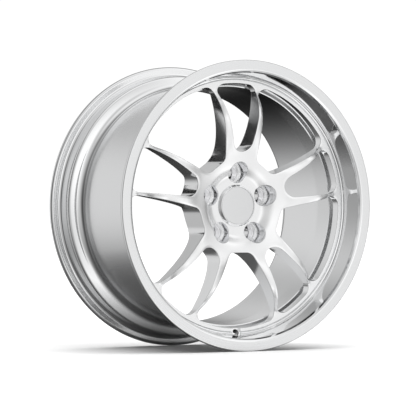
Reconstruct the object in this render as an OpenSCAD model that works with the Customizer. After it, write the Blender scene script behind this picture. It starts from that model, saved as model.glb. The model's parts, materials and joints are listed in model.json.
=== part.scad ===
// Forged racing wheel, 18 x 9.5 J, five lug holes on a 114.3 mm circle.
// A forged ten-spoke centre is trapped between an outer lip half and an inner barrel half,
// and one seam weld in the tyre chamber closes the rim round it.
// The wheel's axis lies along Y, the street face looks toward -Y and +Z is up.
// The origin is on the axis, half way between the two flanges.
// Each piece is first built with its outboard side up, then laid over by on_axle().

/* [Rim] */
// Diameter over the flanges
flange_d = 497; // [490:1:505]
// Bead seat diameter
seat_d = 462; // [458:1:464]
// Width between the inside faces of the flanges
rim_w = 241.3; // [235:0.1:250]
// Thickness of each flange
flange_t = 10.35; // [9:0.05:12]
// Radial width of the flat front face of the lip
face_w = 12.5; // [10:0.5:14]
// Radius that rolls the lip's dish into the front face
face_round = 6; // [5:0.5:7]
// Outside radius of the drop centre
well_r = 208.5; // [207:0.5:210]
// Wall thickness of the barrel
barrel_t = 4.5; // [4:0.1:5.5]

/* [Centre] */
// Depth of the centre's ring behind the front face
ring_depth = 43.4; // [42:0.1:45]
// Thickness of the ring that the rim halves clamp
ring_t = 17; // [16:0.5:18]
// Radius of the ring's inner edge, where the windows end
window_r = 210.5; // [209:0.5:211]
// Depth of the spokes' crest behind the front face
crest_depth = 17.3; // [15:0.1:22]
// Depth of the hub floor behind the front face
hub_depth = 43; // [40:0.5:46]
// Distance of the mounting pad from the rim's mid-plane, toward the front
offset = 38; // [30:1:42]
// Radius of the mounting pad
pad_r = 76; // [74:1:80]

/* [Lugs] */
// Diameter of the lug circle
lug_circle_d = 114.3; // [112:0.1:116]
// Number of lug holes
lug_count = 5; // [5:1:5]
// Radius of a lug socket
socket_r = 18; // [17:0.25:18.5]
// Depth of the socket floor behind the front face
socket_depth = 61; // [58:0.5:63]
// Radius of the stud hole
stud_r = 7.5; // [6.5:0.1:8]
// Outside radius of a lug seat
lug_seat_r = 15; // [14:0.25:15.5]
// Height of a lug seat
lug_seat_h = 13; // [12:0.5:14]

/* [Hub bore and cap] */
// Radius of the hub bore
bore_r = 36.55; // [33:0.05:37]
// Radius of the hole that the cap snaps into
cap_hole_r = 31; // [30:0.5:31.5]
// Outside radius of the cap
cap_r = 36.3; // [35:0.1:37]
// Height that the cap's face stands above the hub floor
cap_h = 5.2; // [4:0.1:6]

/* [Valve] */
// Radius of the valve hole
valve_r = 5.65; // [5.5:0.05:6]
// Distance of the valve hole from the wheel's axis, on the ring's face
valve_pos_r = 216.5; // [216:0.25:217]
// Outward lean of the valve hole
valve_lean = 25; // [22:1:28]

/* [Hidden] */
$fn = 180;

// The whole rim: overall width, and the height of a point at a given depth behind the front
total_w = rim_w + 2 * flange_t;
function up(depth) = total_w / 2 - depth;
function at(points) = [for (p = points) [p[0], up(p[1])]];

flange_r = flange_d / 2;
seat_r = seat_d / 2;
seat_taper = tan(5);
heel_r = 6.5;
flange_round = 5.2;
edge_chamfer = 1.2;
well_in_r = well_r - barrel_t;

// The joint round the centre's ring: step, tongue and shoulder
tongue_r = 219.5;
joint_gap_r = 216.6;
lip_edge_depth = ring_depth - 1.4;
joint_depth = ring_depth + 2.6;
seam_depth = joint_depth + 5;
lip_edge_r = 217.6;
ring_back_r = 215.2;
shoulder_depth = ring_depth + ring_t;
seam_r = 221.6;
ledge_h = 6;
ledge_w = 1;
seam_cut = 1.6;

// Depths of the hub's features
pad_depth = total_w / 2 - offset;
cap_floor_depth = hub_depth + 20;
groove_depth = hub_depth + 11;
wire_r = 1;
wire_ring_r = cap_hole_r + wire_r;
groove_half = wire_r + 0.1;
groove_r = wire_ring_r + groove_half;
cap_gap = 0.3;
skirt_r = cap_hole_r - 0.35;
neck_r = skirt_r - 1.1;
plate_r = 32;
plate_t = 1.8;
o_ring_wire_r = 0.6;

// Window outlines, in the plane of the wheel, with the window's axis along +Y
twin_round_r = 19.4;
twin_round_y = 112;
twin_side = 13.4;
main_base_y = 80.5;
main_base_x = 21;
main_side = 29.2;
main_base_round = 14;
outer_round = 16;
cut_lo = 0;
cut_hi = 140;
valve_reach = 24;
valve_spot_r = 9;
valve_spot_depth = 2;

// Points of an arc from angle a to angle b
function arc(cx, cy, r, a, b, n = 12) =
    [for (i = [0:n]) [cx + r * cos(a + (b - a) * i / n), cy + r * sin(a + (b - a) * i / n)]];

// A smooth curve through a list of points (Catmull-Rom), n steps to each span
function spline_at(p, i, t) =
    let (a = p[max(i - 1, 0)], b = p[i], c = p[i + 1], d = p[min(i + 2, len(p) - 1)])
    0.5 * (2 * b + (c - a) * t + (2 * a - 5 * b + 4 * c - d) * t * t
        + (3 * b - a - 3 * c + d) * t * t * t);
function spline(p, n = 4) = concat(
    [for (i = [0:len(p) - 2], k = [0:n - 1]) spline_at(p, i, k / n)], [p[len(p) - 1]]);

// Front of the centre, as radius and depth: hub floor, bowl, arched spokes, foot at the ring
FRONT = [[50, hub_depth], [54, hub_depth - 1.6], [60, hub_depth - 6], [66, hub_depth - 10],
    [73, hub_depth - 12.6], [88, crest_depth + 9.2], [105, crest_depth + 4.2],
    [122, crest_depth + 0.6], [138, crest_depth - 0.8], [155, crest_depth],
    [172, crest_depth + 6], [182, crest_depth + 12], [190, crest_depth + 18.4],
    [197, ring_depth - 2.4], [201, ring_depth - 0.3], [205, ring_depth]];

// Back of the centre, as radius and depth, from the ring to the mounting pad
BACK = [[203, shoulder_depth - 1.5], [192, shoulder_depth - 3.5], [176, shoulder_depth - 7.5],
    [158, shoulder_depth - 9.8], [140, shoulder_depth - 9.4], [122, shoulder_depth - 5.5],
    [106, shoulder_depth + 2], [94, shoulder_depth + 12], [84, shoulder_depth + 24]];

module on_axle() {
    rotate([90, 0, 0]) children();
}

// Turns an outline given as radius and depth about the axis
module turned(points) {
    rotate_extrude() polygon(at(points));
}

// Repeats its children round the wheel, once for each lug
module round_the_lugs() {
    for (i = [0:lug_count - 1]) rotate(i * 360 / lug_count) children();
}

// Outer edge of a window: the ring's inner edge, with rounded corners on sides that lean
// out at the given angle through the point (x0, y0)
function window_top(x0, y0, lean) =
    let (r = window_r - outer_round,
        dx = sin(lean), dy = cos(lean),
        px = x0 - outer_round * dy, py = y0 + outer_round * dx,
        b = px * dx + py * dy, c = px * px + py * py - r * r,
        t = -b + sqrt(b * b - c),
        cx = px + t * dx, cy = py + t * dy,
        corner = atan2(cy, cx))
    concat(arc(cx, cy, outer_round, -lean, corner, 8),
        arc(0, 0, window_r, corner, 180 - corner, 24),
        arc(-cx, cy, outer_round, 180 - corner, 180 + lean, 8));

// The narrow window on a lug's radius, between the two spokes of a pair
module twin_window() {
    x0 = twin_round_r * cos(twin_side);
    y0 = twin_round_y - twin_round_r * sin(twin_side);
    polygon(concat(
        arc(0, twin_round_y, twin_round_r, 180 + twin_side, 360 - twin_side, 20),
        window_top(x0, y0, twin_side)));
}

// The wide window between two pairs of spokes
module main_window() {
    r = main_base_round;
    cx = main_base_x - r * tan(45 - main_side / 2);
    x0 = cx + r * cos(main_side);
    y0 = main_base_y + r - r * sin(main_side);
    polygon(concat(
        arc(-cx, main_base_y + r, r, 180 + main_side, 270, 8),
        arc(cx, main_base_y + r, r, 270, 360 - main_side, 8),
        window_top(x0, y0, main_side)));
}

module windows() {
    translate([0, 0, cut_lo]) linear_extrude(cut_hi) round_the_lugs() {
        twin_window();
        rotate(180 / lug_count) main_window();
    }
}

// The centre as it leaves the lathe: hub, spoked disc and clamped ring
module centre_blank() {
    turned(concat(
        [[cap_hole_r, hub_depth]],
        spline(FRONT),
        [[joint_gap_r - 1.2, ring_depth], [joint_gap_r, ring_depth + 1.2],
            [joint_gap_r, joint_depth], [tongue_r, joint_depth], [tongue_r, seam_depth],
            [ring_back_r, seam_depth], [ring_back_r, shoulder_depth],
            [window_r - 2, shoulder_depth]],
        spline(BACK),
        [[pad_r, pad_depth - 4], [pad_r - 1, pad_depth], [bore_r + 1.5, pad_depth],
            [bore_r, pad_depth - 1.5], [bore_r, cap_floor_depth],
            [cap_hole_r, cap_floor_depth]]));
}

// Socket, seat bore and stud hole of one lug, on the +Y side
module lug_cuts() {
    translate([0, lug_circle_d / 2, 0]) {
        translate([0, 0, up(socket_depth)]) cylinder(r = socket_r, h = socket_depth);
        translate([0, 0, up(socket_depth + lug_seat_h)]) cylinder(r = lug_seat_r, h = socket_depth);
        translate([0, 0, up(pad_depth) - 1]) cylinder(r = stud_r, h = pad_depth);
    }
}

module forged_centre() {
    color("gainsboro") on_axle() difference() {
        centre_blank();
        windows();
        round_the_lugs() lug_cuts();
        turned([[cap_hole_r - 1, groove_depth - groove_half],
            [groove_r, groove_depth - groove_half], [groove_r, groove_depth + groove_half],
            [cap_hole_r - 1, groove_depth + groove_half]]);
        valve_cut();
    }
}

// The valve hole and its spot face, at the foot of the lip below the hub. The hole leans
// outward, so that it opens into the tyre chamber in front of the drop centre.
module valve_cut() {
    rotate(180) translate([0, valve_pos_r, up(ring_depth)]) rotate([valve_lean, 0, 0]) {
        translate([0, 0, -valve_reach]) cylinder(r = valve_r, h = 2 * valve_reach);
        translate([0, 0, -valve_spot_depth]) cylinder(r = valve_spot_r, h = valve_reach);
    }
}

// Outer half: flange, bead seat, hump and the stepped lip round the centre
module outer_lip_half() {
    face_in_r = flange_r - edge_chamfer - face_w;
    color("whitesmoke") on_axle() difference() {
        turned(concat(
            [[joint_gap_r + 0.25, joint_depth], [joint_gap_r + 0.25, ring_depth + 1],
                [lip_edge_r, lip_edge_depth + 0.8], [lip_edge_r + 0.8, lip_edge_depth],
                [lip_edge_r + 2.4, lip_edge_depth - 0.5], [lip_edge_r + 3.2, lip_edge_depth - 3],
                [lip_edge_r + 4.6, lip_edge_depth - 3.8], [lip_edge_r + 5.4, lip_edge_depth - 8]],
            arc(face_in_r, face_round, face_round, 188, 270, 10),
            [[flange_r - edge_chamfer, 0], [flange_r, edge_chamfer]],
            arc(flange_r - flange_round, flange_t - flange_round, flange_round, 0, 90, 8),
            arc(seat_r + heel_r, flange_t + heel_r, heel_r, 270, 180, 8),
            [[seat_r - 17 * seat_taper, flange_t + 23.5], [seat_r - 0.5, flange_t + 26],
                [seat_r - 0.5, flange_t + 28.5], [seat_r - 2.5, flange_t + 31.5],
                [seam_r, seam_depth], [tongue_r, seam_depth], [tongue_r, joint_depth]]));
        seam_groove();
        valve_cut();
    }
}

// Inner half: shoulder behind the ring, drop centre, hump, bead seat and rear flange
module inner_barrel_half() {
    back = total_w;
    seat_back = back - flange_t - heel_r;
    color("silver") on_axle() difference() {
        turned(concat(
            [[ring_back_r, seam_depth], [seam_r, seam_depth], [seam_r - 3, shoulder_depth + 0.6],
                [well_r + 1.2, shoulder_depth + 11], [well_r, shoulder_depth + 16]],
            arc(well_r + 14, 204, 14, 180, 100, 8),
            [[seat_r - 2.5, 221], [seat_r - 0.3, 223.5], [seat_r - 0.3, 226.5],
                [seat_r - 17 * seat_taper, seat_back - 17]],
            arc(seat_r + heel_r, seat_back, heel_r, 180, 90, 8),
            arc(flange_r - flange_round, back - flange_t + flange_round, flange_round, 270, 360, 8),
            [[flange_r, back - 3], [flange_r - 2.2, back], [flange_r - 7, back],
                [flange_r - 9, back - 3.5], [seat_r - barrel_t, back - 14],
                [seat_r - barrel_t - 1.4, 232]],
            arc(well_in_r + 14.5, 205, 14.5, 105, 180, 8),
            [[well_in_r, shoulder_depth + ledge_h], [well_in_r + ledge_w, shoulder_depth + ledge_h],
                [window_r, shoulder_depth], [ring_back_r, shoulder_depth]]));
        seam_groove();
        valve_cut();
    }
}

// V-groove for the seam weld, open toward the tyre chamber
module seam_groove() {
    turned([[seam_r - seam_cut, seam_depth], [seam_r + seam_cut, seam_depth - 2 * seam_cut],
        [seam_r + seam_cut, seam_depth + 2 * seam_cut]]);
}

// The weld bead that fills the groove and stands a little proud of it
module rim_seam_weld() {
    color("darkgray") on_axle() difference() {
        turned([[seam_r - seam_cut, seam_depth], [seam_r, seam_depth - seam_cut],
            [seam_r + 0.6, seam_depth - 0.7], [seam_r + 0.6, seam_depth + 0.7],
            [seam_r, seam_depth + seam_cut]]);
        valve_cut();
    }
}

// Steel seat pressed into the floor of one lug socket, with a 60 degree cone for the nut
module lug_seat(i) {
    land_r = lug_seat_r - 2.2;
    cone_h = (land_r - stud_r) / tan(30);
    color("lightgray") on_axle() rotate(-i * 360 / lug_count) translate([0, lug_circle_d / 2, 0])
        turned([[land_r, socket_depth], [lug_seat_r - 0.5, socket_depth],
            [lug_seat_r, socket_depth + 0.5], [lug_seat_r, socket_depth + lug_seat_h],
            [stud_r, socket_depth + lug_seat_h], [stud_r, socket_depth + cone_h]]);
}

// Centre cap: turned body with a bright chamfer, a hollow snap skirt and a recess for the plate
module cap_body() {
    face_depth = hub_depth - cap_h;
    inside_r = skirt_r - 3.4;
    end_depth = hub_depth + 16.5;
    color("whitesmoke") on_axle() turned([[0, face_depth + plate_t], [plate_r + 0.2, face_depth + plate_t],
        [plate_r + 0.2, face_depth], [plate_r + 1, face_depth],
        [cap_r, hub_depth - 1.4], [cap_r, hub_depth - cap_gap],
        [neck_r, hub_depth - cap_gap], [neck_r, hub_depth + 1.5],
        [skirt_r, hub_depth + 1.5], [skirt_r, end_depth - 1.5], [skirt_r - 1, end_depth],
        [inside_r, end_depth], [inside_r, hub_depth + 1.5], [0, hub_depth + 1.5]]);
}

module cap_face_plate() {
    face_depth = hub_depth - cap_h;
    color("gainsboro") on_axle() turned([[0, face_depth - 0.4], [plate_r - 12, face_depth - 0.25],
        [plate_r - 0.8, face_depth + 0.1], [plate_r, face_depth + 0.6],
        [plate_r, face_depth + plate_t], [0, face_depth + plate_t]]);
}

// Wire ring in the centre's groove, which grips the cap's skirt
module cap_spring_ring() {
    color("silver") on_axle() rotate_extrude()
        translate([wire_ring_r, up(groove_depth)]) circle(r = wire_r, $fn = 24);
}

// Rubber ring in the neck behind the cap's edge
module cap_o_ring() {
    color("black") on_axle() rotate_extrude()
        translate([neck_r + o_ring_wire_r, up(hub_depth - cap_gap + o_ring_wire_r)])
            circle(r = o_ring_wire_r, $fn = 24);
}

forged_centre();
outer_lip_half();
inner_barrel_half();
rim_seam_weld();
lug_seat(0);  // lug_seat_1
lug_seat(1);  // lug_seat_2
lug_seat(2);  // lug_seat_3
lug_seat(3);  // lug_seat_4
lug_seat(4);  // lug_seat_5
cap_body();
cap_face_plate();
cap_spring_ring();
cap_o_ring();
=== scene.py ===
"""Looks of the forged racing wheel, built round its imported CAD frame.

Outlines are in millimetres, as (radius, depth): depth runs from the street face toward the car.
The wheel's axis is Y, the street face looks toward -Y and the world is in metres.
"""
import json
import math

import bmesh
import bpy
import numpy as np
from mathutils import Matrix, Vector, geometry


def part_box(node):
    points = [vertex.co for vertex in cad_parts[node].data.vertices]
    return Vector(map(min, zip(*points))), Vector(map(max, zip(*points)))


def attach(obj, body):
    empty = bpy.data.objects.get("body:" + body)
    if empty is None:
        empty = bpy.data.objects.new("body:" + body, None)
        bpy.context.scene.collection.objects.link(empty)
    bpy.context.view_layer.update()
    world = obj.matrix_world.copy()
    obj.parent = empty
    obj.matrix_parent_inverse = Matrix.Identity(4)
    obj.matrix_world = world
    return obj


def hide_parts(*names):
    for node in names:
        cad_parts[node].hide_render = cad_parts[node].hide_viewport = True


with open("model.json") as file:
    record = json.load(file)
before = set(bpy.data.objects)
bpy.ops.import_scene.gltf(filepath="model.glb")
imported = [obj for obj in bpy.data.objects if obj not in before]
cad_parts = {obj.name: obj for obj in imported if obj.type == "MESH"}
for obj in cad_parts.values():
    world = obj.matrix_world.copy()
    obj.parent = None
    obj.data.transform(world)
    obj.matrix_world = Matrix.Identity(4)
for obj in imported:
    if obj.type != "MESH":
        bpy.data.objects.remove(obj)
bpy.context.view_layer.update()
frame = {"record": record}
MOUNTS = {m["name"]: m for m in frame["record"]["mounts"]}

# One millimetre, in metres
MM = 0.001

# Driving dimensions, in millimetres
HALF_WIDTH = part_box("outer_lip_half")[0][1] / -MM
FLANGE_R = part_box("outer_lip_half")[1][2] / MM
SEAT_R = FLANGE_R - 17.5
LUG_CIRCLE_R = MOUNTS["lug_holes"]["dims"]["pcd_mm"] / 2
LUG_COUNT = MOUNTS["lug_holes"]["dims"]["count"]
STUD_R = MOUNTS["lug_holes"]["dims"]["hole_r_mm"]
BORE_R = MOUNTS["center_bore"]["dims"]["r_mm"]
VALVE_R = MOUNTS["valve_hole"]["dims"]["r_mm"]
PAD_DEPTH = MOUNTS["hub_pad"]["pos_m"][1] / MM + HALF_WIDTH
PAD_R = 76
RING_DEPTH = 43.4
JOINT_DEPTH = RING_DEPTH + 2.6
SEAM_DEPTH = RING_DEPTH + 7.6
SHOULDER_DEPTH = RING_DEPTH + 17
WINDOW_R = 210.5
RING_OUT_R = 216.6
TONGUE_R = 219.5
RING_BACK_R = 215.2
SEAM_R = 221.6
CREST_DEPTH = 17.3
HUB_DEPTH = 43
SOCKET_R = 18
SOCKET_DEPTH = 61
LUG_SEAT_R = 15
LUG_SEAT_H = 13
CAP_HOLE_R = 31
CAP_R = 36.3
CAP_FACE_DEPTH = HUB_DEPTH - 5.2
PLATE_R = 32
FLANGE_T = 10.35
HEEL_R = 6.5
WELL_R = 208.5
WELL_BACK_DEPTH = 204
BARREL_T = 4.5
BACK_DEPTH = 2 * HALF_WIDTH
VALVE_START_R = 216.5

# Slope of the bead seats, and lean of the valve hole in radians
SEAT_TAPER = math.tan(math.radians(5))
VALVE_LEAN = math.radians(25)

# Edges of the centre, in millimetres
EDGE_ROUND = 0.7
SOCKET_ROUND = 0.8
FACET_WIDTH = 3.6
FACET_DROP = 0.7
SPOKE_CROWN = 2.4

# Points round a full turn
LATHE_STEPS = 360
HUB_STEPS = 160
LUG_STEPS = 64
RING_STEPS = 480


# ---------------------------------------------------------------- outlines

def arc(cx, cy, r, a, b, n=10):
    """Points of an arc from angle a to angle b, in degrees."""
    angles = np.radians(np.linspace(a, b, n + 1))
    return [(cx + r * math.cos(t), cy + r * math.sin(t)) for t in angles]


def filleted(corners, steps=5, hold=0.6):
    """A closed outline with its corners rounded: corners are (radius, depth, fillet).

    On long sides a point is held close to each fillet, so that the flat stays flat when shaded.
    """
    points = []
    count = len(corners)
    for i, (x, y, fillet) in enumerate(corners):
        here = np.array((x, y), float)
        before = np.array(corners[i - 1][:2], float) - here
        after = np.array(corners[(i + 1) % count][:2], float) - here
        len_a, len_b = np.linalg.norm(before), np.linalg.norm(after)
        if fillet <= 0:
            points.append(tuple(here))
            continue
        reach = min(fillet, 0.45 * len_a, 0.45 * len_b)
        start, end = here + before / len_a * reach, here + after / len_b * reach
        if len_a > 6 * hold:
            points.append(tuple(start + before / len_a * hold))
        for t in np.linspace(0, 1, steps + 1):
            points.append(tuple((1 - t) ** 2 * start + 2 * t * (1 - t) * here + t ** 2 * end))
        if len_b > 6 * hold:
            points.append(tuple(end + after / len_b * hold))
    return points


def plain(points):
    """The points as corners that stay as they are."""
    return [(x, y, 0) for x, y in points]


def spline(knots, steps=12):
    """A Catmull-Rom curve through the knots, as an array."""
    knots = np.array(knots, float)
    points = []
    last = len(knots) - 1
    for i in range(last):
        a, b = knots[max(i - 1, 0)], knots[i]
        c, d = knots[i + 1], knots[min(i + 2, last)]
        for t in np.linspace(0, 1, steps, endpoint=False):
            points.append(0.5 * (2 * b + (c - a) * t + (2 * a - 5 * b + 4 * c - d) * t ** 2
                                 + (3 * b - a - 3 * c + d) * t ** 3))
    points.append(knots[-1])
    return np.array(points)


# Front of the centre: hub floor, bowl, crest of the spokes and ring
FRONT = spline([(50, HUB_DEPTH), (54, HUB_DEPTH - 1.6), (60, HUB_DEPTH - 6), (66, HUB_DEPTH - 10),
                (73, HUB_DEPTH - 12.6), (88, CREST_DEPTH + 9.2), (105, CREST_DEPTH + 4.2),
                (122, CREST_DEPTH + 0.6), (138, CREST_DEPTH - 0.8), (155, CREST_DEPTH),
                (172, CREST_DEPTH + 6), (182, CREST_DEPTH + 12), (190, CREST_DEPTH + 18.4),
                (197, RING_DEPTH - 2.4), (201, RING_DEPTH - 0.3), (205, RING_DEPTH)])
# Back of the centre: mounting pad, arched spokes and the ring's shoulder
BACK = spline([(203, SHOULDER_DEPTH - 1.5), (192, SHOULDER_DEPTH - 3.5), (176, SHOULDER_DEPTH - 7.5),
               (158, SHOULDER_DEPTH - 9.8), (140, SHOULDER_DEPTH - 9.4), (122, SHOULDER_DEPTH - 5.5),
               (106, SHOULDER_DEPTH + 2), (94, SHOULDER_DEPTH + 12), (84, SHOULDER_DEPTH + 24)])[::-1]
BACK = np.vstack([[(BORE_R, PAD_DEPTH), (PAD_R - 1, PAD_DEPTH), (PAD_R, PAD_DEPTH - 4)], BACK,
                  [(WINDOW_R - 2, SHOULDER_DEPTH), (RING_BACK_R, SHOULDER_DEPTH)]])


def window_top(x0, y0, lean, round_r=16):
    """Outer end of a window: the ring's inner edge between two sides that lean out."""
    r = WINDOW_R - round_r
    dx, dy = math.sin(math.radians(lean)), math.cos(math.radians(lean))
    px, py = x0 - round_r * dy, y0 + round_r * dx
    along = px * dx + py * dy
    t = -along + math.sqrt(along ** 2 - (px ** 2 + py ** 2 - r ** 2))
    cx, cy = px + t * dx, py + t * dy
    corner = math.degrees(math.atan2(cy, cx))
    return (arc(cx, cy, round_r, -lean, corner, 8) + arc(0, 0, WINDOW_R, corner, 180 - corner, 48)[1:-1]
            + arc(-cx, cy, round_r, 180 - corner, 180 + lean, 8))


def twin_window(round_r=19.4, centre_y=112, lean=13.4):
    """The narrow window between the two spokes of a pair."""
    tilt = math.radians(lean)
    x0, y0 = round_r * math.cos(tilt), centre_y - round_r * math.sin(tilt)
    return arc(0, centre_y, round_r, 180 + lean, 360 - lean, 24) + window_top(x0, y0, lean)


def main_window(base_y=80.5, base_x=21, lean=29.2, round_r=14):
    """The wide window between two pairs of spokes."""
    tilt = math.radians(lean)
    cx = base_x - round_r * math.tan(math.pi / 4 - tilt / 2)
    x0, y0 = cx + round_r * math.cos(tilt), base_y + round_r * (1 - math.sin(tilt))
    return (arc(-cx, base_y + round_r, round_r, 180 + lean, 270, 10)
            + arc(cx, base_y + round_r, round_r, 270, 360 - lean, 10) + window_top(x0, y0, lean))


def resampled(outline, spacing):
    """The closed outline again, with evenly spaced points."""
    loop = np.array(list(outline) + [outline[0]], float)
    length = np.concatenate([[0], np.cumsum(np.linalg.norm(np.diff(loop, axis=0), axis=1))])
    count = int(round(length[-1] / spacing))
    at = np.linspace(0, length[-1], count, endpoint=False)
    return np.column_stack([np.interp(at, length, loop[:, k]) for k in (0, 1)])


def turned_by(points, degrees):
    """The points turned about the wheel's axis."""
    c, s = math.cos(math.radians(degrees)), math.sin(math.radians(degrees))
    return np.array(points) @ np.array([[c, s], [-s, c]])


def circle(r, count, centre=(0, 0)):
    """Evenly spaced points of a circle."""
    t = np.arange(count) * 2 * math.pi / count
    return np.column_stack([centre[0] + r * np.cos(t), centre[1] + r * np.sin(t)])


LUG_TURNS = [i * 360 / LUG_COUNT for i in range(LUG_COUNT)]
LUG_CENTRES = [turned_by([(0, LUG_CIRCLE_R)], -a)[0] for a in LUG_TURNS]
TWINS = [turned_by(resampled(twin_window(), 2.0), a) for a in LUG_TURNS]
MAINS = [turned_by(resampled(main_window(), 2.2), a + 180 / LUG_COUNT) for a in LUG_TURNS]
WINDOWS = TWINS + MAINS
SOCKETS = [circle(SOCKET_R, LUG_STEPS, c) for c in LUG_CENTRES]
STUD_HOLES = [circle(STUD_R + 0.5, LUG_STEPS, c) for c in LUG_CENTRES]


# ---------------------------------------------------------------- meshes

def place(x, z, depth):
    """World position of a point seen from the street at (x, z), at a depth behind the face."""
    return (x * MM, (depth - HALF_WIDTH) * MM, z * MM)


def new_piece(name, verts, faces, body, replaced=(), sharp=40):
    """A closed smooth-shaded mesh that rides on a body and stands for CAD nodes."""
    mesh = bpy.data.meshes.new(name)
    mesh.from_pydata([tuple(map(float, v)) for v in verts], [], [tuple(map(int, f)) for f in faces])
    piece = bpy.data.objects.new(name, mesh)
    bpy.context.collection.objects.link(piece)
    work = bmesh.new()
    work.from_mesh(mesh)
    bmesh.ops.recalc_face_normals(work, faces=work.faces)
    work.to_mesh(mesh)
    work.free()
    finish_shading(mesh, sharp)
    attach(piece, body)
    if replaced:
        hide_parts(*replaced)
    return piece


def finish_shading(mesh, sharp):
    """Smooth shading with crisp edges where faces meet at more than the sharp angle."""
    mesh.shade_smooth()
    mesh.set_sharp_from_angle(angle=math.radians(sharp))


def lathe(name, outline, body, replaced=(), centre=(0, 0), steps=LATHE_STEPS, wobble=None):
    """Turns a closed outline about the wheel's axis, or about a lug's."""
    count = len(outline)
    verts, faces = [], []
    for i in range(steps):
        angle = 2 * math.pi * i / steps
        for r, depth in outline:
            swell = wobble(r, depth, i) if wobble else 0.0
            verts.append(place(centre[0] + (r + swell) * math.cos(angle),
                               centre[1] + (r + swell) * math.sin(angle), depth))
        near, far = i * count, (i + 1) % steps * count
        for j in range(count):
            k = (j + 1) % count
            faces.append((near + j, near + k, far + k, far + j))
    return new_piece(name, verts, faces, body, replaced)


def turned_disc(name, outline, body, replaced=(), steps=144):
    """Turns an outline that starts and ends on the axis."""
    inner = outline[1:-1]
    count = len(inner)
    verts = [place(0, 0, outline[0][1]), place(0, 0, outline[-1][1])]
    faces = []
    for i in range(steps):
        angle = 2 * math.pi * i / steps
        verts += [place(r * math.cos(angle), r * math.sin(angle), depth) for r, depth in inner]
        near, far = 2 + i * count, 2 + (i + 1) % steps * count
        faces.append((0, near, far))
        faces += [(near + j, near + j + 1, far + j + 1, far + j) for j in range(count - 1)]
        faces.append((near + count - 1, 1, far + count - 1))
    return new_piece(name, verts, faces, body, replaced)


def nearest(points, loops, reach=60, batch=2000):
    """Distance from each point to the nearest of the closed loops that lie within reach."""
    best = np.full(len(points), 1e9)
    for loop in loops:
        a, b = loop, np.roll(loop, -1, axis=0)
        ab = b - a
        near = np.flatnonzero(((points > loop.min(0) - reach) & (points < loop.max(0) + reach)).all(1))
        for part in np.array_split(near, max(1, len(near) // batch)):
            ap = points[part][:, None] - a[None]
            t = np.clip((ap * ab).sum(2) / (ab ** 2).sum(1), 0, 1)
            gap = np.linalg.norm(ap - t[..., None] * ab, axis=2).min(1)
            best[part] = np.minimum(best[part], gap)
    return best


def grown(loop, by):
    """A counter-clockwise loop moved outward along its normals."""
    along = np.roll(loop, -1, axis=0) - np.roll(loop, 1, axis=0)
    along /= np.linalg.norm(along, axis=1)[:, None]
    return loop + by * np.column_stack([along[:, 1], -along[:, 0]])


def rounded_drop(gap, radius=EDGE_ROUND):
    """How far a rounded edge falls away at a distance from the edge."""
    inside = np.clip(radius - gap, 0, radius)
    return radius - np.sqrt(radius ** 2 - inside ** 2)


def between(r, start, rise, end, fall):
    """1 between two radii, fading to 0 over a rise after the first and a fall before the last."""
    return np.clip((r - start) / rise, 0, 1) * np.clip((end - r) / fall, 0, 1)


def front_depth(points):
    """Depth of the centre's front: arched spokes, higher at the narrow windows, with facets."""
    r = np.linalg.norm(points, axis=1)
    to_twin, to_main = nearest(points, TWINS), nearest(points, MAINS)
    share = to_twin / (to_twin + to_main + 1e-6)
    crown = between(r, start=88, rise=25, end=206, fall=12) * (share - 0.5)
    gap = np.minimum(to_twin, to_main)
    facet = np.clip(1 - gap / FACET_WIDTH, 0, 1) * between(r, start=70, rise=30, end=209, fall=10)
    depth = np.interp(r, FRONT[:, 0], FRONT[:, 1]) + SPOKE_CROWN * crown + FACET_DROP * facet
    return depth + rounded_drop(gap) + rounded_drop(nearest(points, SOCKETS), SOCKET_ROUND)


def back_depth(points):
    """Depth of the centre's back: flat pad, arched spokes and the ring's shoulder."""
    r = np.linalg.norm(points, axis=1)
    return np.interp(r, BACK[:, 0], BACK[:, 1]) - rounded_drop(nearest(points, WINDOWS))


def face_points(inner, outer, holes, hole_rings, grid, inner_rings, outer_rings):
    """Points of one side of the centre: its outlines first, then rings along them, then a field."""
    bounds = [inner, outer] + holes
    rings = []
    for loop in holes:
        for by in hole_rings:
            ring = grown(loop, by)
            rings.append(ring[nearest(ring, bounds) > 0.93 * by])
    rings += [grown(inner, by) for by in inner_rings]
    rings += [grown(outer, -by) for by in outer_rings]
    r_in, r_out = np.linalg.norm(inner[0]), np.linalg.norm(outer[0])
    rows = []
    for k, r in enumerate(np.arange(r_in + grid, r_out - 0.3 * grid, 0.87 * grid)):
        count = int(2 * math.pi * r / grid)
        rows.append(turned_by(circle(r, count), 180 * k / count))
    field = np.vstack(rows)
    field = field[nearest(field, holes) > max(hole_rings) + 0.5 * grid]
    clouds = [c[~np.any([inside(c, loop) for loop in holes], axis=0)] for c in rings + [field]]
    return bounds, np.vstack(bounds + clouds)


def inside(points, loop):
    """Whether each point is inside the closed loop."""
    hit = np.zeros(len(points), bool)
    box = ((points > loop.min(0)) & (points < loop.max(0))).all(1)
    px, py = points[box, 0][:, None], points[box, 1][:, None]
    ax, ay = loop[:, 0], loop[:, 1]
    bx, by = np.roll(ax, -1), np.roll(ay, -1)
    crosses = ((ay > py) != (by > py)) & (px < (bx - ax) * (py - ay) / (by - ay + 1e-12) + ax)
    hit[box] = crosses.sum(1) % 2 == 1
    return hit


def filled(bounds, points):
    """Triangles between the outlines: those with all corners on one outline are in a hole."""
    owner = np.full(len(points), -1)
    edges, total = [], 0
    for k, loop in enumerate(bounds):
        count = len(loop)
        owner[total:total + count] = k
        edges += [(total + i, total + (i + 1) % count) for i in range(count)]
        total += count
    flat = [Vector((float(x), float(y))) for x, y in points]
    _, _, faces, source, _, _ = geometry.delaunay_2d_cdt(flat, edges, [], 0, 1e-6)
    first = [s[0] for s in source]
    kept = []
    for face in faces:
        corners = [first[v] for v in face]
        groups = {owner[c] for c in corners}
        if len(groups) == 1 and groups != {-1}:
            continue
        kept.append(corners)
    return kept


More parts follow.
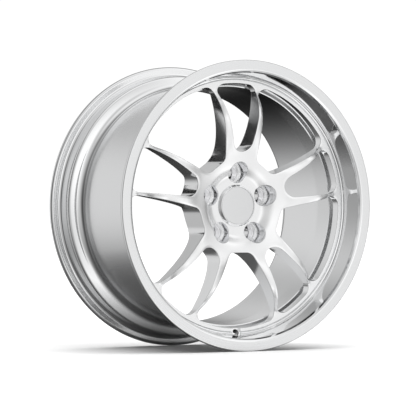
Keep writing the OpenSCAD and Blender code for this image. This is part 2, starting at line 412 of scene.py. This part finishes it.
class Shell:
    """Collects the vertices and faces of one closed mesh."""

    def __init__(self):
        self.verts, self.faces = [], []

    def add(self, points, depths):
        """Adds vertices, all at one depth or each at its own, and returns their numbers."""
        start = len(self.verts)
        depths = np.broadcast_to(depths, len(points))
        self.verts += [place(x, z, d) for (x, z), d in zip(points, depths)]
        return np.arange(start, len(self.verts))

    def side(self, bounds, points, depths):
        """Adds one side between its outlines and returns the vertices along each outline."""
        ids = self.add(points, depths)
        self.faces += [tuple(ids[list(f)]) for f in filled(bounds, points)]
        starts = np.cumsum([0] + [len(loop) for loop in bounds])
        return [ids[start:start + len(loop)] for start, loop in zip(starts, bounds)]

    def band(self, a, b):
        """Joins two loops of as many vertices with quads."""
        self.faces += [(a[i], a[(i + 1) % len(a)], b[(i + 1) % len(b)], b[i]) for i in range(len(a))]

    def tube(self, first, rings, last):
        """Joins a loop through rings of (points, depths) to a last loop."""
        loop = first
        for points, depths in rings:
            new = self.add(points, depths)
            self.band(loop, new)
            loop = new
        self.band(loop, last)

    def depths(self, ids):
        """Depths of vertices behind the street face, in millimetres."""
        return np.array([self.verts[i][1] for i in ids]) / MM + HALF_WIDTH


def window_walls(shell, front_loops, back_loops):
    """The milled walls of the windows, straight along the axis."""
    for loop, front, back in zip(WINDOWS, front_loops, back_loops):
        top, low = shell.depths(front), shell.depths(back)
        shell.tube(front, [(loop, top + (low - top) * t) for t in (0.02, 0.2, 0.4, 0.6, 0.8, 0.98)], back)


def lug_sockets(shell, front_loops, back_loops):
    """The sockets, the pockets of the seats and the stud holes."""
    seat_back = SOCKET_DEPTH + LUG_SEAT_H
    steps = [(SOCKET_R, SOCKET_DEPTH - 1), (SOCKET_R - 0.3, SOCKET_DEPTH - 0.3), (SOCKET_R - 1, SOCKET_DEPTH),
             (LUG_SEAT_R, SOCKET_DEPTH), (LUG_SEAT_R, seat_back), (STUD_R, seat_back),
             (STUD_R, PAD_DEPTH - 0.5)]
    for centre, front, back in zip(LUG_CENTRES, front_loops, back_loops):
        shell.tube(front, [(circle(r, LUG_STEPS, centre), depth) for r, depth in steps], back)


def hub_bore(shell, front, back):
    """The cap's hole with the groove of its wire ring, and the wider bore behind it."""
    groove, floor = HUB_DEPTH + 11, HUB_DEPTH + 20
    steps = [(CAP_HOLE_R, groove - 1.1), (CAP_HOLE_R + 2.1, groove - 1.1), (CAP_HOLE_R + 2.1, groove + 1.1),
             (CAP_HOLE_R, groove + 1.1), (CAP_HOLE_R, floor), (BORE_R, floor), (BORE_R, PAD_DEPTH - 1.5)]
    shell.tube(front, [(circle(r, HUB_STEPS), depth) for r, depth in steps], back)


def clamped_ring(shell, front, back):
    """The ring's edge and the tongue that the two rim halves clamp."""
    steps = [(RING_OUT_R - 0.3, RING_DEPTH + 0.3), (RING_OUT_R, RING_DEPTH + 1.2), (RING_OUT_R, JOINT_DEPTH),
             (TONGUE_R, JOINT_DEPTH), (TONGUE_R, SEAM_DEPTH), (RING_BACK_R, SEAM_DEPTH)]
    shell.tube(front, [(circle(r, RING_STEPS), depth) for r, depth in steps], back)


def forged_centre():
    """The centre as one closed mesh: front, back, window walls, sockets, bore and clamped ring."""
    shell = Shell()
    bounds, points = face_points(
        circle(CAP_HOLE_R, HUB_STEPS), circle(RING_OUT_R - 1.2, RING_STEPS), WINDOWS + SOCKETS,
        hole_rings=(0.1, 0.32, 0.7, 1.3, 3.3, 3.9), grid=3.2, inner_rings=(0.8,), outer_rings=(0.5, 1.5))
    front = shell.side(bounds, points, front_depth(points))
    bounds, points = face_points(
        circle(BORE_R + 1.5, HUB_STEPS), circle(RING_BACK_R, RING_STEPS), WINDOWS + STUD_HOLES,
        hole_rings=(0.1, 0.32, 0.7, 1.6), grid=4.5, inner_rings=(0.8,), outer_rings=(0.8,))
    back = shell.side(bounds, points, back_depth(points))

    first_lug = 2 + len(WINDOWS)
    window_walls(shell, front[2:first_lug], back[2:first_lug])
    lug_sockets(shell, front[first_lug:], back[first_lug:])
    hub_bore(shell, front[0], back[0])
    clamped_ring(shell, front[1], back[1])
    return new_piece("forged_centre_body", shell.verts, shell.faces, "wheel",
                     ("forged_centre",), sharp=38)


def outer_lip():
    """The outer rim half: stepped lip, polished dish, satin face, flange and bead seat."""
    face_in_r = FLANGE_R - 14.6
    edge_r, edge = RING_OUT_R + 1, RING_DEPTH - 1.4
    corners = (
        [(RING_OUT_R + 0.25, JOINT_DEPTH, 0), (RING_OUT_R + 0.25, RING_DEPTH + 1, 0.4),
         (edge_r, edge + 0.8, 0.3), (edge_r + 0.8, edge, 0.4), (edge_r + 2.4, edge - 0.5, 0.4),
         (edge_r + 3.2, edge - 3, 0.5), (edge_r + 4.6, edge - 3.8, 0.5), (edge_r + 5, edge - 8, 2.0),
         (face_in_r - 7, 6.2, 0.3), (face_in_r - 4.9, 1.9, 0.2)]
        + plain(arc(face_in_r, 6, 6, 228, 270, 12))
        + [(FLANGE_R - 1.2, 0, 0.5), (FLANGE_R, 1.2, 0.5)]
        + plain(arc(FLANGE_R - 5.2, FLANGE_T - 5.2, 5.2, 0, 90, 8))
        + plain(arc(SEAT_R + HEEL_R, FLANGE_T + HEEL_R, HEEL_R, 270, 180, 8))
        + [(SEAT_R - 17 * SEAT_TAPER, FLANGE_T + 23.5, 1.5), (SEAT_R - 0.5, FLANGE_T + 26, 1),
           (SEAT_R - 0.5, FLANGE_T + 28.5, 1), (SEAT_R - 2.5, FLANGE_T + 31.5, 1.5),
           (SEAM_R, SEAM_DEPTH, 0), (TONGUE_R, SEAM_DEPTH, 0), (TONGUE_R, JOINT_DEPTH, 0)])
    return lathe("outer_lip", filleted(corners), "wheel", ("outer_lip_half",))


def inner_barrel():
    """The inner rim half: shoulder, drop centre, hump, bead seat and rear flange."""
    inner_r = WELL_R - BARREL_T
    seat_back = BACK_DEPTH - FLANGE_T - HEEL_R
    hump = WELL_BACK_DEPTH + 17
    corners = (
        [(RING_BACK_R, SEAM_DEPTH, 0), (SEAM_R, SEAM_DEPTH, 0), (SEAM_R - 3, SHOULDER_DEPTH + 0.6, 3),
         (WELL_R + 1.2, SHOULDER_DEPTH + 11, 3), (WELL_R, SHOULDER_DEPTH + 16, 3)]
        + plain(arc(WELL_R + 14, WELL_BACK_DEPTH, 14, 180, 100, 14))
        + [(SEAT_R - 2.5, hump, 1.5), (SEAT_R - 0.3, hump + 2.5, 1.2), (SEAT_R - 0.3, hump + 5.5, 1.2),
           (SEAT_R - 17 * SEAT_TAPER, seat_back - 17, 1.2)]
        + plain(arc(SEAT_R + HEEL_R, seat_back, HEEL_R, 180, 90, 8))
        + plain(arc(FLANGE_R - 5.2, BACK_DEPTH - FLANGE_T + 5.2, 5.2, 270, 360, 8))
        + [(FLANGE_R, BACK_DEPTH - 3, 0.6), (FLANGE_R - 2.2, BACK_DEPTH, 0.8),
           (FLANGE_R - 7, BACK_DEPTH, 0.8), (FLANGE_R - 9, BACK_DEPTH - 3.5, 1.5),
           (SEAT_R - BARREL_T, BACK_DEPTH - 14, 3), (SEAT_R - BARREL_T - 1.4, hump + 11, 4)]
        + plain(arc(inner_r + 14.5, WELL_BACK_DEPTH + 1, 14.5, 105, 180, 14))
        + [(inner_r, SHOULDER_DEPTH + 40, 3), (inner_r + 1.7, SHOULDER_DEPTH + 6, 0.2),
           (inner_r + 3.5, SHOULDER_DEPTH + 6, 0.2),
           (WINDOW_R, SHOULDER_DEPTH, 0), (RING_BACK_R, SHOULDER_DEPTH, 0)])
    return lathe("inner_barrel", filleted(corners), "wheel", ("inner_barrel_half",))


def valve_cutter(steps=64):
    """The leaning valve hole with its spot face, as one solid to cut with."""
    start = Vector(place(0, -VALVE_START_R, RING_DEPTH))
    axis = Vector((0, math.cos(VALVE_LEAN), -math.sin(VALVE_LEAN)))
    side = Vector((1, 0, 0))
    up = axis.cross(side)
    outline = [(9, -22), (9, 1.7), (8.7, 2), (VALVE_R + 0.4, 2), (VALVE_R, 2.4), (VALVE_R, 24)]
    work = bmesh.new()
    rings = []
    for r, along in outline:
        turns = [2 * math.pi * i / steps for i in range(steps)]
        spokes = [side * math.cos(t) + up * math.sin(t) for t in turns]
        rings.append([work.verts.new(start + (axis * along + spoke * r) * MM) for spoke in spokes])
    for a, b in zip(rings, rings[1:]):
        for i in range(steps):
            work.faces.new((a[i], a[(i + 1) % steps], b[(i + 1) % steps], b[i]))
    work.faces.new(rings[0])
    work.faces.new(rings[-1])
    bmesh.ops.recalc_face_normals(work, faces=work.faces)
    mesh = bpy.data.meshes.new("valve_cutter")
    work.to_mesh(mesh)
    work.free()
    cutter = bpy.data.objects.new("valve_cutter", mesh)
    bpy.context.collection.objects.link(cutter)
    return cutter


def cut(piece, cutter, sharp=38):
    """Takes the cutter's volume out of a piece for good."""
    boolean = piece.modifiers.new("cut", "BOOLEAN")
    boolean.operation = "DIFFERENCE"
    boolean.solver = "EXACT"
    boolean.object = cutter
    bpy.context.view_layer.update()
    graph = bpy.context.evaluated_depsgraph_get()
    result = bpy.data.meshes.new_from_object(piece.evaluated_get(graph))
    piece.modifiers.clear()
    old = piece.data
    piece.data = result
    bpy.data.meshes.remove(old)
    finish_shading(result, sharp)


def seam_weld():
    """The weld bead in the tyre chamber, with the ripples of its passes."""
    def ripple(r, depth, i):
        return 0.16 * math.sin(i * 2 * math.pi / 6) if r > SEAM_R else 0.0
    outline = [(SEAM_R - 1.5, SEAM_DEPTH), (SEAM_R, SEAM_DEPTH - 1.6), (SEAM_R + 0.35, SEAM_DEPTH - 1.2),
               (SEAM_R + 0.6, SEAM_DEPTH - 0.5), (SEAM_R + 0.6, SEAM_DEPTH + 0.5),
               (SEAM_R + 0.35, SEAM_DEPTH + 1.2), (SEAM_R, SEAM_DEPTH + 1.6)]
    return lathe("seam_weld", outline, "wheel", ("rim_seam_weld",), steps=1440, wobble=ripple)


def lug_seat(k, centre):
    """One steel lug seat: a land, two turned steps and the 60 degree cone."""
    cone_top = LUG_SEAT_R - 2.2
    depth = SOCKET_DEPTH
    cone_h = (cone_top - 1.2 - STUD_R) / math.tan(math.radians(30))
    corners = [(cone_top - 1.2, depth + 2.2, 0.2), (cone_top - 0.2, depth + 1.9, 0.2),
               (cone_top, depth + 0.3, 0.2), (cone_top + 0.4, depth, 0.15), (LUG_SEAT_R - 0.9, depth, 0.3),
               (LUG_SEAT_R - 0.6, depth + 0.9, 0.2), (LUG_SEAT_R, depth + 1, 0.2),
               (LUG_SEAT_R, depth + LUG_SEAT_H, 0.2),
               (STUD_R, depth + LUG_SEAT_H, 0.2), (STUD_R, depth + 2.2 + cone_h, 0.6)]
    return lathe(f"lug_seat_ring_{k + 1}", filleted(corners), "wheel",
                 (f"lug_seat_{k + 1}",), centre=centre, steps=96)


def cap_pieces():
    """The pull-off cap, with chamfered body, blank face plate and rubber ring, and its wire ring."""
    skirt_r = CAP_HOLE_R - 0.35
    neck_r, inside_r = skirt_r - 1.1, skirt_r - 3.4
    floor, end = CAP_FACE_DEPTH + 1.8, HUB_DEPTH + 16.5
    body = filleted([
        (0, floor, 0), (PLATE_R + 0.2, floor, 0), (PLATE_R + 0.2, CAP_FACE_DEPTH, 0.15),
        (PLATE_R + 1, CAP_FACE_DEPTH, 0.3), (CAP_R, HUB_DEPTH - 1.4, 0.5), (CAP_R, HUB_DEPTH - 0.3, 0.3),
        (neck_r, HUB_DEPTH - 0.3, 0), (neck_r, HUB_DEPTH + 1.5, 0), (skirt_r, HUB_DEPTH + 1.5, 0.3),
        (skirt_r, end - 1.5, 0.4), (skirt_r - 1, end, 0.3), (inside_r, end, 0.3),
        (inside_r, HUB_DEPTH + 1.5, 0.8), (0, HUB_DEPTH + 1.5, 0)])
    turned_disc("cap_shell", body, "cap", ("cap_body",))
    dome = [(r, CAP_FACE_DEPTH - 0.4 + 0.5 * (r / PLATE_R) ** 2, 0) for r in range(4, 29, 4)]
    plate = filleted([(0, CAP_FACE_DEPTH - 0.4, 0)] + dome + [
        (PLATE_R - 0.6, CAP_FACE_DEPTH + 0.1, 0.3), (PLATE_R, CAP_FACE_DEPTH + 0.6, 0.3),
        (PLATE_R, floor, 0), (0, floor, 0)])
    turned_disc("cap_plate", plate, "cap", ("cap_face_plate",))
    seal = arc(neck_r + 0.6, HUB_DEPTH + 0.3, 0.6, 0, 360, 16)[:-1]
    lathe("cap_seal", seal, "cap", ("cap_o_ring",), steps=144)
    wire = arc(CAP_HOLE_R + 1, HUB_DEPTH + 11, 1, 0, 360, 16)[:-1]
    lathe("cap_wire", wire, "wheel", ("cap_spring_ring",), steps=144)


# ---------------------------------------------------------------- materials

def shader(name, colour, roughness, metallic=1.0):
    """A new material, with its nodes, links and Principled shader."""
    material = bpy.data.materials.new(name)
    material.use_nodes = True
    nodes, links = material.node_tree.nodes, material.node_tree.links
    bsdf = nodes["Principled BSDF"]
    bsdf.inputs["Base Color"].default_value = (*colour, 1)
    bsdf.inputs["Roughness"].default_value = roughness
    bsdf.inputs["Metallic"].default_value = metallic
    return material, nodes, links, bsdf


def math_node(nodes, links, operation, a, b=0):
    """The result of a sum on numbers or other nodes' outputs."""
    node = nodes.new("ShaderNodeMath")
    node.operation = operation
    for socket, value in zip(node.inputs, (a, b)):
        if isinstance(value, (int, float)):
            socket.default_value = value
        else:
            links.new(value, socket)
    return node.outputs[0]


def noise(nodes, links, scale, detail=3.0, vector=None):
    """Noise with so many waves to the metre, in the piece's own space unless a vector is given."""
    node = nodes.new("ShaderNodeTexNoise")
    node.inputs["Scale"].default_value = scale
    node.inputs["Detail"].default_value = detail
    if vector is None:
        vector = nodes.new("ShaderNodeTexCoord").outputs["Object"]
    links.new(vector, node.inputs["Vector"])
    return node.outputs["Fac"]


def remap(nodes, links, value, low, high, start=0.0, stop=1.0):
    """A value that runs from start to stop, stretched to run from low to high."""
    node = nodes.new("ShaderNodeMapRange")
    links.new(value, node.inputs["Value"])
    node.inputs["From Min"].default_value = start
    node.inputs["From Max"].default_value = stop
    node.inputs["To Min"].default_value = low
    node.inputs["To Max"].default_value = high
    return node.outputs["Result"]


def turning_marks(nodes, links, per_metre, centre=(0.0, 0.0), drift=0.0004):
    """Noise drawn out round an axis, as a lathe tool leaves it, that drifts a little round the turn."""
    split = nodes.new("ShaderNodeSeparateXYZ")
    links.new(nodes.new("ShaderNodeTexCoord").outputs["Object"], split.inputs[0])
    x = math_node(nodes, links, "SUBTRACT", split.outputs["X"], centre[0])
    z = math_node(nodes, links, "SUBTRACT", split.outputs["Z"], centre[1])
    radius = math_node(nodes, links, "SQRT", math_node(
        nodes, links, "ADD", math_node(nodes, links, "MULTIPLY", x, x),
        math_node(nodes, links, "MULTIPLY", z, z)))
    joined = nodes.new("ShaderNodeCombineXYZ")
    links.new(radius, joined.inputs["X"])
    links.new(split.outputs["Y"], joined.inputs["Y"])
    turn = math_node(nodes, links, "ARCTAN2", z, x)
    links.new(math_node(nodes, links, "MULTIPLY", turn, drift), joined.inputs["Z"])
    return noise(nodes, links, per_metre, 4.0, joined.outputs[0])


def bump(nodes, links, bsdf, height, strength, distance):
    """Fine relief, as deep as the distance in metres."""
    node = nodes.new("ShaderNodeBump")
    node.inputs["Strength"].default_value = strength
    node.inputs["Distance"].default_value = distance
    links.new(height, node.inputs["Height"])
    links.new(node.outputs[0], bsdf.inputs["Normal"])


def tint(nodes, links, bsdf, value, dark, light):
    """Colour that drifts between two tones."""
    mix = nodes.new("ShaderNodeMix")
    mix.data_type = "RGBA"
    mix.inputs["A"].default_value = (*dark, 1)
    mix.inputs["B"].default_value = (*light, 1)
    links.new(value, mix.inputs["Factor"])
    links.new(mix.outputs["Result"], bsdf.inputs["Base Color"])


def satin_forging(name, tone, roughness):
    """Fine satin aluminium with a faint blasted grain and slow drifts of tone."""
    material, nodes, links, bsdf = shader(name, (tone, tone, tone), roughness)
    cloud = noise(nodes, links, 9, 3)
    grain = noise(nodes, links, 2600, 2)
    low, high = tone - 0.03, tone + 0.03
    tint(nodes, links, bsdf, cloud, (low, low + 0.003, low + 0.008), (high, high + 0.002, high + 0.005))
    rough = math_node(nodes, links, "ADD", remap(nodes, links, cloud, roughness - 0.04, roughness + 0.04),
                      remap(nodes, links, grain, -0.03, 0.03))
    links.new(rough, bsdf.inputs["Roughness"])
    bump(nodes, links, bsdf, grain, 0.12, 0.00005)
    return material


def polished(name, low, high, marks=9000, strength=0.05):
    """Mirror-polished aluminium with faint turning marks and wiping haze."""
    material, nodes, links, bsdf = shader(name, (0.92, 0.925, 0.93), low)
    haze = noise(nodes, links, 14, 4)
    lines = turning_marks(nodes, links, marks)
    tint(nodes, links, bsdf, haze, (0.90, 0.905, 0.912), (0.94, 0.944, 0.948))
    rough = math_node(nodes, links, "ADD", remap(nodes, links, haze, low, high),
                      remap(nodes, links, lines, -0.02, 0.03))
    links.new(rough, bsdf.inputs["Roughness"])
    bump(nodes, links, bsdf, lines, strength, 0.00002)
    return material


def machined(name, colour, roughness, marks, centre=(0.0, 0.0), strength=0.2):
    """A turned satin face: fine rings with a soft sheen."""
    material, nodes, links, bsdf = shader(name, colour, roughness)
    lines = turning_marks(nodes, links, marks, centre)
    dark = tuple(0.94 * c for c in colour)
    tint(nodes, links, bsdf, lines, dark, colour)
    links.new(remap(nodes, links, lines, roughness - 0.05, roughness + 0.07), bsdf.inputs["Roughness"])
    bump(nodes, links, bsdf, lines, strength, 0.00003)
    return material


def weld_metal():
    """Bare weld metal, mottled by heat."""
    material, nodes, links, bsdf = shader("weld_metal", (0.7, 0.7, 0.71), 0.4)
    spots = noise(nodes, links, 900, 4)
    tint(nodes, links, bsdf, spots, (0.55, 0.55, 0.57), (0.78, 0.77, 0.76))
    links.new(remap(nodes, links, spots, 0.3, 0.55), bsdf.inputs["Roughness"])
    bump(nodes, links, bsdf, spots, 0.3, 0.0002)
    return material


def black_rubber():
    """Dusty black rubber."""
    material, nodes, links, bsdf = shader("black_rubber", (0.03, 0.03, 0.032), 0.6, 0.0)
    dust = noise(nodes, links, 700, 3)
    tint(nodes, links, bsdf, dust, (0.02, 0.02, 0.022), (0.05, 0.05, 0.052))
    links.new(remap(nodes, links, dust, 0.5, 0.72), bsdf.inputs["Roughness"])
    bump(nodes, links, bsdf, dust, 0.2, 0.0001)
    return material


def dress(piece, *materials):
    """Gives a piece its materials."""
    piece.data.materials.clear()
    for material in materials:
        piece.data.materials.append(material)


def second_finish(piece, chosen):
    """Gives the chosen faces the second of the piece's materials."""
    for face in piece.data.polygons:
        face.material_index = 1 if chosen(face) else 0


def is_rim_face(face):
    """The flat face at the very front."""
    return face.normal.y < -0.97 and face.center.y < (1 - HALF_WIDTH) * MM


def is_milled_wall(face):
    """The milled walls of the windows and sockets, whose faces run along the axis."""
    return abs(face.normal.y) < 0.5 and math.hypot(face.center.x, face.center.z) > (CAP_HOLE_R + 4) * MM


def is_rear_band(face):
    """The bead seat, hump and flange at the car's side, which are polished brighter than the rest."""
    outward = face.normal.x * face.center.x + face.normal.z * face.center.z > 0
    return outward and face.center.y > (WELL_BACK_DEPTH + 2 - HALF_WIDTH) * MM


# ---------------------------------------------------------------- the wheel

cutter = valve_cutter()
centre = forged_centre()
lip = outer_lip()
barrel = inner_barrel()
for part in (centre, lip, barrel):
    cut(part, cutter)
bpy.data.objects.remove(cutter)
weld = seam_weld()
seats = [lug_seat(k, c) for k, c in enumerate(LUG_CENTRES)]
cap_pieces()

dress(centre, satin_forging("satin_forging", tone=0.93, roughness=0.25),
      polished("milled_wall", low=0.07, high=0.11))
second_finish(centre, is_milled_wall)
dress(lip, polished("polished_lip", low=0.05, high=0.09),
      machined("machined_face", (0.9, 0.905, 0.91), roughness=0.26, marks=3000))
second_finish(lip, is_rim_face)
dress(barrel, polished("satin_barrel", low=0.12, high=0.18),
      polished("polished_seat", low=0.03, high=0.05, strength=0.02))
second_finish(barrel, is_rear_band)
dress(weld, weld_metal())
for piece, spot in zip(seats, LUG_CENTRES):
    dress(piece, machined(piece.name + "_steel", (0.9, 0.9, 0.91), roughness=0.15, marks=5000,
                          centre=spot * MM))
for name, material in {
        "cap_shell": polished("polished_cap", low=0.05, high=0.09),
        "cap_plate": machined("satin_plate", (0.86, 0.865, 0.87), roughness=0.38, marks=1500, strength=0.08),
        "cap_seal": black_rubber(),
        "cap_wire": machined("spring_wire", (0.6, 0.6, 0.62), roughness=0.25, marks=4000)}.items():
    dress(bpy.data.objects[name], material)


# ---------------------------------------------------------------- studio

WHITE = 1.05
SOFTNESS = 12.0
# Brightness of the studio's broad lights, by elevation and then by azimuth from the street side toward +X
SOFT_LIGHTS = {
    -60: {-45: 0.1},
    -48: {-5: 0.75},
    -30: {0: 0.65, 60: 1.2, -120: 0.1},
    -10: {-150: 0.49, -60: 0.4, 30: 0.48},
    10: {-150: 0.22, -120: 0.02, -30: 0.56, 0: 0.68, 30: 0.3, 120: 0.08},
    30: {-180: 0.17, -150: 0.4, -120: 0.2, -60: 0.3, 0: 0.33, 30: 0.16, 60: 0.9, 120: 0.2, 150: 0.55},
    60: {-45: 0.6, 45: 0.6},
    90: {0: 0.6}}


def flat_shape(name, corners):
    """A flat shape of the studio, with its one face."""
    mesh = bpy.data.meshes.new(name)
    mesh.from_pydata(corners, [], [tuple(range(len(corners)))])
    shape = bpy.data.objects.new(name, mesh)
    bpy.context.collection.objects.link(shape)
    return shape


def studio_floor(half=60.0):
    """A plain white floor that the wheel stands on and that reflections leave out."""
    low = -FLANGE_R * MM
    floor = flat_shape("studio_floor", [(-half, -half, low), (half, -half, low), (half, half, low),
                                        (-half, half, low)])
    material, nodes, links, bsdf = shader("floor_white", (0.93, 0.93, 0.93), 0.7, 0.0)
    tint(nodes, links, bsdf, noise(nodes, links, 3), (0.92, 0.92, 0.92), (0.95, 0.95, 0.95))
    dress(floor, material)
    floor.visible_glossy = False
    return floor


def painted_shade_card(name, corners, dark, light):
    """A dark card that only reflections see: painted shade, for contrast in the polish."""
    card = flat_shape(name, corners)
    material, nodes, links, bsdf = shader(name + "_grey", (dark, dark, dark), 0.8, 0.0)
    tint(nodes, links, bsdf, noise(nodes, links, 40), (dark, dark, dark), (light, light, light))
    dress(card, material)
    for ray in ("camera", "diffuse", "shadow", "transmission", "volume_scatter"):
        setattr(card, "visible_" + ray, False)
    return nodes, links, bsdf


def studio_flag(spot=(-0.04, 0.18), radius=0.42, core=0.1, steps=64):
    """A round card on the floor that fades out from its core to its rim: a painted shadow of the floor under
    the wheel, seen only in reflections.
    """
    low = (1 - FLANGE_R) * MM
    nodes, links, bsdf = painted_shade_card("studio_flag", [(x, y, low) for x, y in circle(radius, steps, spot)],
                                   dark=0.2, light=0.25)
    out = nodes.new("ShaderNodeVectorMath")
    out.operation = "DISTANCE"
    links.new(nodes.new("ShaderNodeTexCoord").outputs["Object"], out.inputs[0])
    out.inputs[1].default_value = (*spot, low)
    links.new(remap(nodes, links, out.outputs["Value"], 1, 0, core, radius), bsdf.inputs["Alpha"])


def studio_card(y=0.145):
    """A narrow card upright behind the wheel, which darkens the left walls of the spokes with painted shade
    that only reflections see.
    """
    outline = [(-0.215, 0.035), (-0.17, 0.05), (-0.09, 0.135), (-0.05, 0.225), (-0.1, 0.225), (-0.17, 0.17)]
    painted_shade_card("studio_card", [(x, y, z) for x, z in outline], dark=0.09, light=0.12)


def soft_light(nodes, links, toward, azimuth, elevation, level):
    """Brightness that falls away smoothly round one direction of the surroundings."""
    a, e = math.radians(azimuth), math.radians(elevation)
    along = nodes.new("ShaderNodeVectorMath")
    along.operation = "DOT_PRODUCT"
    links.new(toward, along.inputs[0])
    along.inputs[1].default_value = (math.sin(a) * math.cos(e), -math.cos(a) * math.cos(e), math.sin(e))
    off = math_node(nodes, links, "SUBTRACT", along.outputs["Value"], 1.0)
    fall = math_node(nodes, links, "EXPONENT", math_node(nodes, links, "MULTIPLY", off, SOFTNESS))
    return math_node(nodes, links, "MULTIPLY", fall, level)


def studio_world():
    """Soft studio surroundings made of broad lights; the camera itself sees plain white."""
    world = bpy.data.worlds.new("studio")
    bpy.context.scene.world = world
    world.use_nodes = True
    nodes, links = world.node_tree.nodes, world.node_tree.links
    toward = nodes.new("ShaderNodeTexCoord").outputs["Generated"]
    total = 0.0
    for elevation, row in SOFT_LIGHTS.items():
        for azimuth, level in row.items():
            light = soft_light(nodes, links, toward, azimuth, elevation, level)
            total = math_node(nodes, links, "ADD", total, light)
    mix = nodes.new("ShaderNodeMix")
    mix.data_type = "FLOAT"
    links.new(nodes.new("ShaderNodeLightPath").outputs["Is Camera Ray"], mix.inputs["Factor"])
    links.new(total, mix.inputs["A"])
    mix.inputs["B"].default_value = WHITE
    links.new(mix.outputs["Result"], nodes["Background"].inputs["Strength"])
    nodes["Background"].inputs["Color"].default_value = (1, 1, 1, 1)


def floor_wash(floor, strength, spread=80):
    """Soft light from above for the floor alone, in which the wheel still casts its shadow."""
    light = bpy.data.lights.new("floor_wash", "SUN")
    light.angle, light.energy = math.radians(spread), strength
    lamp = bpy.data.objects.new("floor_wash", light)
    bpy.context.collection.objects.link(lamp)
    only = bpy.data.collections.new("floor_only")
    only.objects.link(floor)
    lamp.light_linking.receiver_collection = only


def camera(azimuth=31.05, pitch=0.23, distance=4.471, left=0.0726, below=0.0041, lens=227.25):
    """On the left of the street side, almost level with the axle, with a long lens."""
    a, p = math.radians(azimuth), math.radians(pitch)
    right = Vector((math.cos(a), -math.sin(a), 0))
    ahead = Vector((math.sin(a) * math.cos(p), math.cos(a) * math.cos(p), math.sin(p)))
    up = right.cross(ahead)
    aim = Vector((0, -(HALF_WIDTH + 3) * MM, 0))
    data = bpy.data.cameras.new("camera")
    data.sensor_width, data.lens = 36, lens
    data.clip_end = 60
    view = bpy.data.objects.new("camera", data)
    turn = Matrix((right, up, -ahead)).transposed().to_4x4()
    view.matrix_world = Matrix.Translation(aim - left * right - below * up - distance * ahead) @ turn
    bpy.context.collection.objects.link(view)
    bpy.context.scene.camera = view


floor_wash(studio_floor(), strength=2.9)
# Painted shadow of the floor under the wheel, seen only in reflections
studio_flag()
# Painted shade on the left walls of the spokes, seen only in reflections
studio_card()
studio_world()
camera()
bpy.context.scene.view_settings.view_transform = "Standard"
